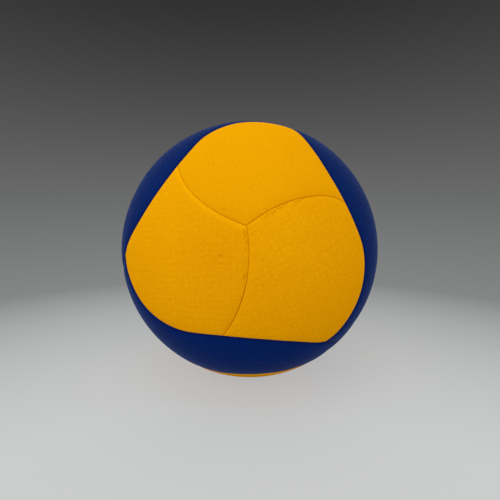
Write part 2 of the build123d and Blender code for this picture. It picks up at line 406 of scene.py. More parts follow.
class SeamArc(NamedTuple):
    """The shorter arc of a circle between two of its points."""

    circle: SeamCircle
    start: np.ndarray
    end: np.ndarray


class Seams(NamedTuple):
    """The named directions and the kinds of seam circle round the front hub."""

    axes: np.ndarray
    bands: list
    blue_corner: np.ndarray
    far_blue_corner: np.ndarray
    long_edge: SeamCircle
    round_edge: SeamCircle
    hub_seam: SeamCircle

    @property
    def hub(self):
        """The front hub's direction, the last of the three axes."""
        return self.axes[-1]


def unit(vectors):
    """Each vector divided by its length."""
    return vectors / np.linalg.norm(vectors, axis=-1, keepdims=True)


def between(first, second):
    """The angle between directions."""
    return np.arccos(np.clip(first @ second, -1, 1))


def turned(points, axis, angle_round):
    """Points turned about an axis: what lies along the axis stays, and what is square to it turns."""
    along = (points @ axis)[..., None] * axis
    return along + (points - along) * cos(angle_round) + np.cross(axis, points) * sin(angle_round)


def direction(axes, polar, turn):
    """The direction at an angle from the front hub, turned from the band beside it."""
    return np.array([sin(polar) * cos(turn), sin(polar) * sin(turn), cos(polar)]) @ axes


def widened(circle, more):
    """The same circle with its radius changed by an angle."""
    return SeamCircle(circle.middle, circle.radius + more)


def turned_circle(circle, axis, angle_round):
    """The same circle carried round an axis."""
    return SeamCircle(turned(circle.middle, axis, angle_round), circle.radius)


def crossing(first, second, near):
    """Where two circles cross, on the side of a given direction: the planes' line cut by the unit ball."""
    across = first.middle @ second.middle
    heights = np.cos([first.radius, second.radius])
    shares = np.linalg.solve([[1, across], [across, 1]], heights)
    foot = shares @ np.array([first.middle, second.middle])
    normal = np.cross(first.middle, second.middle)
    reach = normal * sqrt((1 - foot @ foot) / (normal @ normal))
    return max((foot + reach, foot - reach), key=lambda point: point @ near)


def point_towards(circle, target):
    """The point of a circle that lies nearest a direction."""
    sideways = unit(target - circle.middle * (circle.middle @ target))
    return circle.middle * cos(circle.radius) + sideways * sin(circle.radius)


def find_seams(layout):
    """The hub's own axes, the tetrahedron's directions and the seam circles, from the layout's angles."""
    hub = np.array([0, -cos(layout.hub_rise), sin(layout.hub_rise)])
    to_band = turned(np.array([1.0, 0, 0]), hub, layout.band_turn)
    axes = np.array([to_band, np.cross(hub, to_band), hub])
    blue_corner = direction(axes, BLUE_CORNER_POLAR, THIRD_TURN / 2)
    long_middle = direction(axes, layout.long_edge_polar, layout.long_edge_turn)
    long_edge = SeamCircle(long_middle, between(long_middle, blue_corner))
    round_middle = direction(axes, layout.round_edge_polar, layout.round_edge_turn)
    next_long_middle = turned(long_middle, hub, THIRD_TURN)
    round_radius = between(round_middle, next_long_middle) - long_edge.radius
    hub_seam_middle = direction(axes, layout.hub_seam_polar, layout.hub_seam_leave - pi / 2)
    return Seams(
        axes=axes,
        bands=[direction(axes, BAND_POLAR, THIRD_TURN * blade) for blade in BLADES],
        blue_corner=blue_corner,
        far_blue_corner=direction(axes, BLUE_CORNER_POLAR, -THIRD_TURN / 2),
        long_edge=long_edge,
        round_edge=SeamCircle(round_middle, round_radius),
        hub_seam=SeamCircle(hub_seam_middle, layout.hub_seam_polar),
    )


def arc_frame(arc):
    """The directions from a circle's centre to the arc's start and a quarter turn on, and the arc's sweep."""
    middle = arc.circle.middle
    ahead = unit(arc.start - middle * (middle @ arc.start))
    aside = np.cross(middle, ahead)
    return ahead, aside, atan2(arc.end @ aside, arc.end @ ahead)


def arc_length(arc):
    """The arc's length on the unit ball: its sweep times the sine of the circle's radius."""
    return abs(arc_frame(arc)[-1]) * sin(arc.circle.radius)


def arc_points(arc, shares):
    """Points at shares of an arc: the start turned about the circle's centre by that share of the sweep."""
    ahead, aside, sweep = arc_frame(arc)
    turns = np.asarray(shares)[:, None] * sweep
    radial = np.cos(turns) * ahead + np.sin(turns) * aside
    return arc.circle.middle * cos(arc.circle.radius) + radial * sin(arc.circle.radius)


def along_arc(arc, points):
    """How far along an arc points lie: their turn about the circle's centre, as a length on the unit ball."""
    ahead, aside, sweep = arc_frame(arc)
    turns = np.arctan2(points @ aside, points @ ahead) * np.sign(sweep)
    return turns * sin(arc.circle.radius)


def arc_distance(arc, points):
    """The angle from points to an arc: square to the circle beside it, and to the nearer end elsewhere."""
    run = along_arc(arc, points)
    off_circle = np.abs(between(points, arc.circle.middle) - arc.circle.radius)
    off_ends = np.minimum(between(points, arc.start), between(points, arc.end))
    return np.where((run >= 0) & (run <= arc_length(arc)), off_circle, off_ends)


def side_points(arcs, shares):
    """Points at shares of the whole length of arcs that follow each other."""
    ends = np.cumsum([0] + [arc_length(arc) for arc in arcs])
    runs = np.asarray(shares) * ends[-1]
    which = np.clip(np.searchsorted(ends, runs, side="right") - 1, 0, len(arcs) - 1)
    points = np.empty((len(runs), 3))
    for index, arc in enumerate(arcs):
        here = which == index
        points[here] = arc_points(arc, (runs[here] - ends[index]) / (ends[index + 1] - ends[index]))
    return points


def seam_strays(seams, radius):
    """The places where sewn seams stray, each with its shift and its reach on the unit ball: a side shifts
    square to its run and away from the cover's heart, and a blunt tip shifts towards the heart."""
    sides = dict(zip(SIDES, yellow_sides(seams, 0.0)))
    heart = unit(sum(side_points(arcs, [0.5])[0] for arcs in sides.values()))
    tip = side_points(sides["straight"], [1.0])
    for cover, carry in yellow_places(seams):
        for side, shifts in SEAM_STRAYS.get(cover, {}).items():
            ends = np.linspace(0, 1, len(shifts) + 1)
            places = side_points(sides[side], (ends[1:] + ends[:-1]) / 2)
            across = unit(np.cross(np.diff(side_points(sides[side], ends), axis=0), places))
            outwards = across * np.sign(np.sum(across * (places - heart), axis=-1, keepdims=True))
            step = sum(arc_length(arc) for arc in sides[side]) / len(shifts)
            for place, way, shift in zip(carry(places), carry(outwards), shifts):
                yield place, way * shift * MM / radius, step * STRAY_REACH_SHARE
        if cover.startswith(HUBS[0]):
            inwards = carry(unit(heart - tip))[0]
            yield carry(tip)[0], inwards * TIP_BLUNTING * MM / radius, TIP_REACH * MM / radius


def strayed(points, seams, radius):
    """Directions shifted along the ball by the strays: each is a bell curve of the angle from its place."""
    shift = np.zeros_like(points)
    for place, move, reach in seam_strays(seams, radius):
        shift += np.exp(-((between(points, place) / reach) ** 2))[..., None] * move
    return unit(points + shift)


# Outlines of the two kinds of cover, as the four sides of a grid: bottom, right, top and left


def yellow_sides(seams, setback):
    """A yellow cover: two hub seams from the hub, a long edge, and a long edge that runs into a round one."""
    next_long_edge = turned_circle(seams.long_edge, seams.hub, THIRD_TURN)
    next_hub_seam = turned_circle(seams.hub_seam, seams.hub, THIRD_TURN)
    leading = widened(seams.hub_seam, setback)
    straight = widened(seams.long_edge, setback)
    rounded = widened(seams.round_edge, -setback)
    closing = widened(next_long_edge, setback)
    trailing = widened(next_hub_seam, -setback)
    hub_corner = crossing(leading, trailing, seams.hub)
    leading_end = crossing(leading, straight, seams.hub)
    tip = crossing(straight, rounded, seams.blue_corner)
    touch = point_towards(rounded, closing.middle)
    trailing_end = crossing(closing, trailing, seams.hub)
    return [
        [SeamArc(leading, hub_corner, leading_end)],
        [SeamArc(straight, leading_end, tip)],
        [SeamArc(closing, trailing_end, touch), SeamArc(rounded, touch, tip)],
        [SeamArc(trailing, hub_corner, trailing_end)],
    ]


def blue_sides(seams, setback):
    """A blue cover: two short ends, and two long sides that are a half turn of each other about the band."""
    band = seams.bands[0]
    end_seam = widened(turned_circle(seams.long_edge, seams.hub, -THIRD_TURN), setback)
    rounded = widened(turned_circle(seams.round_edge, seams.hub, -THIRD_TURN), setback)
    straight = widened(seams.long_edge, -setback)
    far_end_seam, far_rounded, far_straight = (
        turned_circle(circle, band, pi) for circle in (end_seam, rounded, straight)
    )
    corner = crossing(far_straight, end_seam, seams.far_blue_corner)
    tip = crossing(end_seam, rounded, seams.far_blue_corner)
    touch = point_towards(rounded, straight.middle)
    far_corner, far_tip, far_touch = (turned(point, band, pi) for point in (corner, tip, touch))
    return [
        [SeamArc(far_straight, corner, far_touch), SeamArc(far_rounded, far_touch, far_tip)],
        [SeamArc(far_end_seam, far_tip, far_corner)],
        [SeamArc(rounded, tip, touch), SeamArc(straight, touch, far_corner)],
        [SeamArc(end_seam, corner, tip)],
    ]


def crowded_shares(steps, crowding, reach):
    """Shares from 0 to 1 whose spacing shrinks by a falling exponential towards both ends."""
    even = np.linspace(0, 1, steps + 1)
    taken = np.exp(-even / reach) - np.exp(-(1 - even) / reach) - 1
    shares = even + crowding * reach * taken
    return (shares - shares[0]) / (shares[-1] - shares[0])


def stretched_grid(sides, step, stride, crowding=0.0, crowding_reach=1.0):
    """A grid of directions between four sides: the two ruled grids' sum less the grid ruled from the corners,
    pushed out to the unit ball. The step is an angle, and the counts are whole numbers of strides."""
    bottom, right, top, left = sides
    spans = [sum(arc_length(arc) for arc in side) for side in sides]
    waist = between(side_points(bottom, [0.5])[0], side_points(top, [0.5])[0])
    across_count = ceil(max(spans[0], spans[2]) / step / stride) * stride
    up_count = ceil(max(spans[1], spans[3], waist) / step / stride) * stride
    across = crowded_shares(across_count, crowding, crowding_reach)
    up = crowded_shares(up_count, crowding, crowding_reach)
    low, high = side_points(bottom, across)[None], side_points(top, across)[None]
    near, far = side_points(left, up)[:, None], side_points(right, up)[:, None]
    u, v = across[None, :, None], up[:, None, None]
    ruled = (1 - v) * low + v * high + (1 - u) * near + u * far
    low_corners = (1 - u) * low[:, :1] + u * low[:, -1:]
    high_corners = (1 - u) * high[:, :1] + u * high[:, -1:]
    return unit(ruled - (1 - v) * low_corners - v * high_corners)


def seam_distance(sides, directions):
    """The angle from each direction to the nearest of the arcs of some sides."""
    arcs = [arc for side in sides for arc in side]
    return np.min([arc_distance(arc, directions) for arc in arcs], axis=0)


def cover_grid(shape, sides):
    """The fine grid of a cover, tightened beside its seams."""
    step = shape.grid_step / shape.ball_radius
    return stretched_grid(sides, step, shape.inner_stride, shape.rim_crowding, shape.rim_crowding_reach)


# Relief of the covers, as depths below the ball's round surface


def smooth_step(values):
    """From 0 to 1 with level ends: three squares less two cubes."""
    held = np.clip(values, 0, 1)
    return held * held * (3 - 2 * held)


def edge_roll(distance, drop, reach):
    """A quarter ellipse: the full drop at the edge, and level at its reach."""
    inwards = 1 - np.clip(distance / reach, 0, 1)
    return drop * (1 - np.sqrt(1 - inwards * inwards))


def nearness(distance, reach):
    """From 1 at no distance to 0 at the reach and beyond."""
    return 1 - smooth_step(distance / reach)


def crown_fall(shape, distance):
    """A falling exponential of the distance from the seam."""
    return shape.crown_drop * np.exp(-distance / shape.crown_reach)


def cover_depth(shape, distance):
    """A cover's fall towards its seams and the roll of its edge into them."""
    return crown_fall(shape, distance) + edge_roll(distance, shape.roll_drop, shape.roll_reach)


def flattened(directions, middle, start, radius):
    """Flat coordinates round a middle: the angle from it as a length, at the direction's turn from a start
    direction."""
    ahead = unit(start - middle * (middle @ start))
    turns = np.arctan2(directions @ np.cross(middle, ahead), directions @ ahead)
    run = between(directions, middle) * radius
    return run * np.cos(turns), run * np.sin(turns)


def dimples(shape, flat, lattice_turn, distance):
    """Round hollows on a square lattice, from 0 to 1: a bell curve of the distance to the nearest lattice
    point, shifted a little, times what wear has left of it, which fades out towards the seam."""
    across, up = flat
    aligned = np.array([
        across * cos(lattice_turn) + up * sin(lattice_turn),
        up * cos(lattice_turn) - across * sin(lattice_turn),
    ])
    nearest = np.round(aligned / shape.dimple_pitch)
    row, column = nearest.astype(int) % DIMPLE_ROWS
    random = np.random.default_rng(DIMPLE_SEED)
    left = random.uniform(1 - shape.dimple_wear, 1, (DIMPLE_ROWS, DIMPLE_ROWS))[row, column]
    shift = shape.dimple_jitter * random.uniform(-1, 1, (2, DIMPLE_ROWS, DIMPLE_ROWS))[:, row, column]
    off = aligned - shape.dimple_pitch * nearest - shift
    bell = np.exp(-np.sum(off * off, axis=0) / shape.dimple_reach**2)
    return bell * left * smooth_step(distance / shape.dimple_margin)


def specks_and_darkening(directions, seams, radius):
    """Dark specks of dirt and a broad faint darkening on the front covers: a bell curve round each."""
    marks = np.zeros(directions.shape[:-1])
    for polar, turn, reach, strength in SPECKS_AND_DARKENING:
        place = direction(seams.axes, radians(polar), radians(turn))
        marks += strength * np.exp(-((between(directions, place) * radius / (reach * MM)) ** 2))
    return marks


def trailing_seam_shade(place, from_hub):
    """How dark the painted shade along a cover's trailing seam is, from 0 to 1 and a little beyond."""
    return np.interp(from_hub / MM, SEAM_STOPS, SEAM_SHADE_TONES.get(place, EVEN_SHADE_TONES))


def pucker_depth(shape, run, offset, puckers):
    """Folds along a seam: a bell curve across each fold, whose line slants and sways, faded at its ends."""
    depth = np.zeros_like(run)
    for pucker in puckers:
        start, end = pucker.run_start * MM, pucker.run_end * MM
        slant = np.interp(run, [start, end], [pucker.offset_start * MM, pucker.offset_end * MM])
        line = slant + shape.pucker_sway * np.sin(2 * pi * (run - start) / shape.pucker_wave)
        bell = np.exp(-(((offset - line) / shape.pucker_reach) ** 2))
        fade = smooth_step((run - start) / shape.pucker_fade) * smooth_step((end - run) / shape.pucker_fade)
        depth += pucker.depth * MM * bell * fade
    return depth


def drawn_puckers(random):
    """Folds for a cover that isn't in front, drawn with runs, offsets and depths like those in front."""
    starts = random.uniform(*PUCKER_STARTS, PUCKER_COUNT)
    runs = random.uniform(*PUCKER_RUNS, PUCKER_COUNT)
    offsets = random.uniform(*PUCKER_OFFSETS, (2, PUCKER_COUNT))
    depths = random.uniform(*PUCKER_DEPTHS, PUCKER_COUNT)
    return [Pucker(*values) for values in zip(starts, starts + runs, *offsets, depths)]


# Meshes


def grid_faces(index):
    """The four-sided faces of a grid of vertex numbers."""
    corners = [index[:-1, :-1], index[:-1, 1:], index[1:, 1:], index[1:, :-1]]
    return np.stack([corner.ravel() for corner in corners], axis=1)


def grid_rim(index):
    """The vertex numbers round a grid, in the same sense as its faces."""
    return np.concatenate([index[0, :-1], index[:-1, -1], index[-1, :0:-1], index[:0:-1, 0]])


def make_mesh(name, vertices, face_blocks):
    """A mesh from vertices and blocks of faces; each block is (faces of one size, whether they're smooth)."""
    mesh = bpy.data.meshes.new(name)
    corners = np.concatenate([faces.ravel() for faces, _ in face_blocks])
    sizes = np.concatenate([np.full(len(faces), faces.shape[1]) for faces, _ in face_blocks])
    smooth = np.concatenate([np.full(len(faces), is_smooth) for faces, is_smooth in face_blocks])
    mesh.vertices.add(len(vertices))
    mesh.vertices.foreach_set("co", vertices.astype(np.float32).ravel())
    mesh.loops.add(len(corners))
    mesh.loops.foreach_set("vertex_index", corners.astype(np.int32))
    mesh.polygons.add(len(sizes))
    mesh.polygons.foreach_set("loop_start", (np.cumsum(sizes) - sizes).astype(np.int32))
    mesh.polygons.foreach_set("use_smooth", smooth)
    mesh.update(calc_edges=True)
    return mesh


def shell_mesh(name, directions, outer_radii, inner_radius, stride, marks):
    """A closed shell: the fine grid at its outer radii, a coarse grid at the inner radius, and a rim between.
    Marks are named numbers that are kept on the outer face's vertices."""
    outer = directions * outer_radii[..., None]
    inner = directions[::stride, ::stride] * inner_radius
    outer_index = np.arange(outer[..., 0].size).reshape(outer.shape[:2])
    inner_index = outer_index.size + np.arange(inner[..., 0].size).reshape(inner.shape[:2])
    outer_rim, inner_rim = grid_rim(outer_index), grid_rim(inner_index)
    spans = np.arange(len(inner_rim))[:, None] * stride + np.arange(stride, -1, -1)
    rim = np.column_stack([
        outer_rim[spans % len(outer_rim)],
        inner_rim,
        np.roll(inner_rim, -1),
    ])
    outer_faces, inner_faces = grid_faces(outer_index), grid_faces(inner_index)[:, ::-1]
    across, up = outer[1, 1] - outer[1, 0], outer[1, 1] - outer[0, 1]
    if np.cross(across, up) @ outer[1, 1] < 0:
        outer_faces, inner_faces, rim = outer_faces[:, ::-1], inner_faces[:, ::-1], rim[:, ::-1]
    vertices = np.concatenate([outer.reshape(-1, 3), inner.reshape(-1, 3)])
    mesh = make_mesh(name, vertices, [(outer_faces, True), (inner_faces, True), (rim, False)])
    for mark, values in marks.items():
        kept = np.concatenate([values.ravel(), np.zeros(inner_index.size)]).astype(np.float32)
        mesh.attributes.new(mark, "FLOAT", "POINT").data.foreach_set("value", kept)
    return mesh


def rounded_profile(corners, radius, steps):
    """A closed outline of (distance from the axis, height) with round corners: at each corner off the axis,
    a curve from one tangent point to the other that leaves along both edges."""
    corners = np.asarray(corners, dtype=float)
    before, after = np.roll(corners, 1, axis=0), np.roll(corners, -1, axis=0)
    shares = np.linspace(0, 1, steps + 1)[:, None]
    outline = []
    for corner, last, following in zip(corners, before, after):
        if corner[0] == 0:
            outline.append(corner[None])
            continue
        back, on = last - corner, following - corner
        reach = min(radius, ROUNDING_SHARE * min(np.linalg.norm(back), np.linalg.norm(on)))
        start, end = corner + unit(back) * reach, corner + unit(on) * reach
        outline.append((1 - shares) ** 2 * start + 2 * shares * (1 - shares) * corner + shares**2 * end)
    return np.concatenate(outline)


def revolved_mesh(name, outline, axis, segments):
    """A closed outline turned round an axis: each of its points runs round a circle, and a point on the axis
    is one vertex, which the merge closes."""
    across = unit(np.cross(axis, np.array([1.0, 0, 0])))
    aside = np.cross(axis, across)
    turns = np.linspace(0, 2 * pi, segments, endpoint=False)
    spokes = np.cos(turns)[:, None] * across + np.sin(turns)[:, None] * aside
    rings = outline[:, None, :1] * spokes[None] + outline[:, None, 1:] * axis
    index = np.arange(len(outline) * segments).reshape(len(outline), segments)
    wrapped = np.pad(index, ((0, 1), (0, 1)), mode="wrap")
    return make_mesh(name, rings.reshape(-1, 3), [(grid_faces(wrapped), True)])


def merged(mesh):
    """Closes the poles of a turned mesh and points its faces outwards."""
    shaped = bmesh.new()
    shaped.from_mesh(mesh)
    bmesh.ops.remove_doubles(shaped, verts=shaped.verts, dist=MERGE_DISTANCE)
    loose = [edge for edge in shaped.edges if not edge.link_faces]
    bmesh.ops.delete(shaped, geom=loose, context="EDGES")
    bmesh.ops.recalc_face_normals(shaped, faces=shaped.faces)
    shaped.to_mesh(mesh)
    shaped.free()
    return mesh


# Pieces


def add_object(name, data):
    """An object in the scene, at the origin and unturned."""
    added = bpy.data.objects.new(name, data)
    bpy.context.scene.collection.objects.link(added)
    return added


def add_piece(name, mesh, node, material):
    """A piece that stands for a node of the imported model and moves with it."""
    piece = add_object(name, mesh)
    mesh.materials.append(material)
    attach(piece, BODY)
    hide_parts(node)
    return piece


def carrier(seams, blade, half_turn=None):
    """The function that turns points about the front hub to a blade, and then on by a half turn about a band,
    if one is given."""

    def carry(points):
        moved = turned(points, seams.hub, THIRD_TURN * blade)
        return moved if half_turn is None else turned(moved, half_turn, pi)

    return carry


def yellow_places(seams):
    """The name of each yellow place, and the function that carries the first cover's points there."""
    for hub_name, half_turn in zip(HUBS, (None, *seams.bands)):
        for blade in BLADES:
            yield f"{hub_name}_{blade + 1}", carrier(seams, blade, half_turn)


def blue_places(seams):
    """The name of each blue place, and the function that carries the first cover's points there: a rear band
    is reached by a half turn about the next band in front."""
    for blade in BLADES:
        yield FRONT_BANDS[blade], carrier(seams, blade)
        yield REAR_BANDS[blade], carrier(seams, blade, seams.bands[(blade + 1) % len(BLADES)])


def place_before(place):
    """The place whose trailing seam is this place's leading one: the blade before, round the same hub."""
    hub_name, blade = place.split("_")
    return f"{hub_name}_{(int(blade) + 1) % len(BLADES) + 1}"


def valve_hole_radius(valve):
    """The stem's radius and the space round it."""
    return valve.stem_diameter / 2 + valve.stem_clearance


def valve_axis(seams):
    """The valve's direction, opposite the band below the front hub."""
    return -seams.bands[0]


def cut_valve_hole(piece, piece_radius, seams, valve):
    """Takes a round rod along the valve's axis out of a piece."""
    hole, reach = valve_hole_radius(valve), piece_radius * ROD_OVERRUN
    corners = np.array([(0, 0), (hole, 0), (hole, reach), (0, reach)], dtype=float)
    rod_mesh = revolved_mesh("valve_rod", corners, valve_axis(seams), valve.segments)
    rod = add_object("valve_rod", merged(rod_mesh))
    cut = piece.modifiers.new("valve_hole", "BOOLEAN")
    cut.operation = "DIFFERENCE"
    cut.solver = "EXACT"
    cut.object = rod
    depsgraph = bpy.context.evaluated_depsgraph_get()
    cut_mesh = bpy.data.meshes.new_from_object(piece.evaluated_get(depsgraph))
    piece.modifiers.clear()
    piece.data = cut_mesh
    bpy.data.objects.remove(rod)


def valve_outlines(valve, ball_radius):
    """The corners of the housing's and the plug's outlines, as (distance from the axis, height from the
    ball's middle). The flange lies along the inside of the bladder."""
    bladder_low, bladder_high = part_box("bladder")
    air_radius = (bladder_high.z - bladder_low.z) / 2 - valve.bladder_wall
    under_flange = air_radius - valve.flange_thickness
    stem, flange, barrel = valve.stem_diameter / 2, valve.flange_diameter / 2, valve.barrel_diameter / 2
    core, head, foot = valve.core_diameter / 2, valve.head_diameter / 2, valve.foot_diameter / 2
    bore = valve.bore_diameter / 2
    stem_top = ball_radius - valve.stem_recess
    head_seat = stem_top - valve.head_thickness
    barrel_bottom = under_flange - valve.barrel_length
    foot_bottom = barrel_bottom - valve.foot_thickness
    bore_bottom = stem_top - valve.bore_depth
    housing = [
        (core, barrel_bottom),
        (barrel, barrel_bottom),
        (barrel, sqrt(under_flange**2 - barrel**2)),
        (flange, sqrt(under_flange**2 - flange**2)),
        (flange, sqrt(air_radius**2 - flange**2)),
        (stem, sqrt(air_radius**2 - stem**2)),
        (stem, stem_top),
        (head, stem_top),
        (head, head_seat),
        (core, head_seat),
    ]
    plug = [
        (0, foot_bottom),
        (foot, foot_bottom),
        (foot, barrel_bottom),
        (core, barrel_bottom),
        (core, head_seat),
        (head, head_seat),
        (head, stem_top),
        (bore, stem_top),
        (bore, bore_bottom),
        (0, bore_bottom),
    ]
    return {"valve_housing": housing, "valve_core": plug}


# Shader groups, which give values that change over the surface


def add_node(tree, kind, inputs=None, **settings):
    """A node with its settings made, and each input linked to a socket or set to a value."""
    node = tree.nodes.new(kind)
    for name, value in settings.items():
        setattr(node, name, value)
    for key, value in (inputs or {}).items():
        if isinstance(value, bpy.types.NodeSocket):
            tree.links.new(value, node.inputs[key])
        else:
            node.inputs[key].default_value = value
    return node


def math(tree, operation, first, second=0.0, third=0.0):
    """The result of a sum or product of two or three numbers."""
    return add_node(tree, "ShaderNodeMath", {0: first, 1: second, 2: third}, operation=operation).outputs[0]


def mix_colours(tree, factor, first, second):
    """The colour that lies a share of the way from the first to the second."""
    inputs = {"Factor": factor, 6: first, 7: second}
    return add_node(tree, "ShaderNodeMix", inputs, data_type="RGBA").outputs[2]


def ramp(tree, value, low, high):
    """A number carried smoothly from 0 at low to 1 at high."""
    inputs = {"Value": value, "From Min": low, "From Max": high}
    return add_node(tree, "ShaderNodeMapRange", inputs, interpolation_type="SMOOTHSTEP").outputs[0]


def noise(tree, place, scale, detail=2.0):
    """A cloudy number from 0 to 1."""
    inputs = {"Vector": place, "Scale": scale, "Detail": detail}
    return add_node(tree, "ShaderNodeTexNoise", inputs).outputs["Fac"]


def cells(tree, place, scale):
    """The distance to the nearest of scattered points, in their spacing."""
    return add_node(tree, "ShaderNodeTexVoronoi", {"Vector": place, "Scale": scale}).outputs["Distance"]


def object_place(tree):
    """The place on the ball, in metres from its middle."""
    return add_node(tree, "ShaderNodeTexCoord").outputs["Object"]


def opaque(rgb, factor=1.0):
    """A colour times a number, no paler than white, with full alpha."""
    return (*(min(channel * factor, 1.0) for channel in rgb), 1.0)


def new_group(name, inputs, outputs):
    """An empty group with number sockets, its inputs by name, and the node that takes its outputs."""
    tree = bpy.data.node_groups.new(name, "ShaderNodeTree")
    for socket in inputs:
        tree.interface.new_socket(socket, in_out="INPUT", socket_type="NodeSocketFloat")
    for socket in outputs:
        tree.interface.new_socket(socket, in_out="OUTPUT", socket_type="NodeSocketFloat")
    given = tree.nodes.new("NodeGroupInput").outputs
    return tree, given, tree.nodes.new("NodeGroupOutput")


def grain_group():
    """Pebbled grain: the closeness to scattered points, roughened by a finer cloud."""
    tree, given, out = new_group("pebbled_grain", ["Pebbles"], ["Height"])
    place = object_place(tree)
    pebbles = math(tree, "SUBTRACT", 1.0, cells(tree, place, given["Pebbles"]))
    fibres = noise(tree, place, math(tree, "MULTIPLY", given["Pebbles"], PEBBLE_FIBRES))
    between_pebbles = math(tree, "MULTIPLY", fibres, 1 - PEBBLE_SHARE)
    height = math(tree, "MULTIPLY_ADD", pebbles, PEBBLE_SHARE, between_pebbles)
    tree.links.new(height, out.inputs["Height"])
    return tree


def handling_group():
    """Marks of use: a slow cloud of tone, a fine one, and specks close to scattered points."""
    inputs = ["Clouds", "Fibres", "Specks", "Speck Size"]
    tree, given, out = new_group("handling_marks", inputs, ["Tone", "Cloth", "Dirt"])
    place = object_place(tree)
    near = cells(tree, place, given["Specks"])
    dirt = math(tree, "SUBTRACT", 1.0, ramp(tree, near, 0.0, given["Speck Size"]))
    tree.links.new(noise(tree, place, given["Clouds"], detail=3.0), out.inputs["Tone"])
    tree.links.new(noise(tree, place, given["Fibres"]), out.inputs["Cloth"])
    tree.links.new(dirt, out.inputs["Dirt"])
    return tree


def cover_group():
    """The marks that a cover's mesh keeps, each times its own strength: hollow, crease, edge and grain."""
    # Hollow and edge carry painted highlights; crease carries painted shade, with specks of dirt
    names = ["Hollow", "Crease", "Edge", "Grain"]
    tree, given, out = new_group("cover_marks", names, names)
    for name in names:
        kept = add_node(tree, "ShaderNodeAttribute", attribute_name=name.lower()).outputs["Fac"]
        tree.links.new(math(tree, "MULTIPLY", kept, given[name]), out.inputs[name])
    return tree


GROUP_MAKERS = {"pebbled_grain": grain_group, "handling_marks": handling_group, "cover_marks": cover_group}


def place_group(tree, name, **inputs):
    """A shared group placed in a material with its own values; it is built the first time."""
    shared = bpy.data.node_groups.get(name) or GROUP_MAKERS[name]()
    node = add_node(tree, "ShaderNodeGroup", node_tree=shared)
    for key, value in inputs.items():
        node.inputs[key.replace("_", " ")].default_value = value
    return node


# Materials


def new_material(name, **constants):
    """A material with one Principled shader, whose even values are set on its own sockets."""
    material = bpy.data.materials.new(name)
    material.use_nodes = True
    shader = material.node_tree.nodes["Principled BSDF"]
    for key, value in constants.items():
        shader.inputs[key.replace("_", " ")].default_value = value
    return material, material.node_tree, shader


def bumped(tree, shader, height, distance):
    """Gives a shader the relief of a height, over the distance from its lowest to its highest."""
    bump = add_node(tree, "ShaderNodeBump", {"Height": height, "Distance": distance, "Strength": 1.0})
    tree.links.new(bump.outputs["Normal"], shader.inputs["Normal"])


def microfibre(name, rgb, crease, nap, speck, paler, sheen_weight, specular):
    """Dimpled synthetic leather: pebbled grain, a slow change of tone, specks, hollows and edges painted
    paler as highlights, and seams painted darker as shade."""
    material, tree, shader = new_material(
        name,
        Sheen_Weight=sheen_weight,
        Sheen_Roughness=0.26,
        Sheen_Tint=opaque(nap),
        Specular_IOR_Level=specular,
    )
    marks = place_group(tree, "handling_marks", Clouds=26.0, Fibres=1400.0, Specks=42.0, Speck_Size=0.022)
    # Painted highlights: the hollows and edges are mixed towards a paler copy of the colour
    edge = EDGE_HIGHLIGHT / (paler - 1)
    cover = place_group(tree, "cover_marks", Hollow=1.0, Crease=1.0, Edge=edge, Grain=FIBRE_CONTRAST)
    grain = place_group(tree, "pebbled_grain", Pebbles=2600.0)
    tone = marks.outputs["Tone"]
    raised = math(tree, "SUBTRACT", marks.outputs["Cloth"], CLOUD_MIDDLE)
    fibres = math(tree, "MULTIPLY_ADD", raised, cover.outputs["Grain"], CLOUD_MIDDLE)
    slow = math(tree, "MULTIPLY", tone, 1 - FIBRE_SHARE)
    mottle = math(tree, "MULTIPLY_ADD", fibres, FIBRE_SHARE, slow)
    sunk, high = np.multiply(rgb, SUNK_FIBRES), np.multiply(rgb, RAISED_FIBRES)
    cloth = mix_colours(tree, mottle, opaque(sunk), opaque(high))
    hollow_highlights = math(tree, "MULTIPLY", cover.outputs["Hollow"], tone)
    painted_highlights = math(tree, "MAXIMUM", hollow_highlights, cover.outputs["Edge"])
    cloth = mix_colours(tree, painted_highlights, cloth, opaque(rgb, paler))
    specked = mix_colours(tree, marks.outputs["Dirt"], cloth, opaque(speck))
    # Painted shade: seams and folds are mixed towards the darker colour, swinging in a cloud along them; the
    # crease mark also holds specks of dirt and a broad faint darkening
    seam_shade_cloud = noise(tree, object_place(tree), SEAM_SHADE_SCALE)
    seam_shade_strength = math(tree, "MULTIPLY_ADD", seam_shade_cloud, SEAM_SHADE_SWING, SEAM_SHADE_LEAST)
    shaded = math(tree, "MULTIPLY", cover.outputs["Crease"], seam_shade_strength)
    seamed = mix_colours(tree, shaded, specked, opaque(crease))
    tree.links.new(seamed, shader.inputs["Base Color"])
    spread = {"Value": grain.outputs["Height"], "To Min": 0.6, "To Max": 0.76}
    tree.links.new(add_node(tree, "ShaderNodeMapRange", spread).outputs[0], shader.inputs["Roughness"])
    bumped(tree, shader, grain.outputs["Height"], LEATHER_RELIEF)
    return material


def yellow_microfibre(finish):
    """The yellow leather, with no gloss."""
    colours = finish.yellow, finish.yellow_shade_and_specks, finish.nap, finish.speck
    return microfibre("yellow_microfibre", *colours, paler=1.24, sheen_weight=0.0, specular=0.0)


def blue_microfibre(finish):
    """The blue leather, whose nap shows paler at the ball's rim."""
    colours = finish.blue, finish.blue_seam_shade, finish.nap, finish.speck
    return microfibre("blue_microfibre", *colours, paler=1.9, sheen_weight=0.18, specular=0.02)


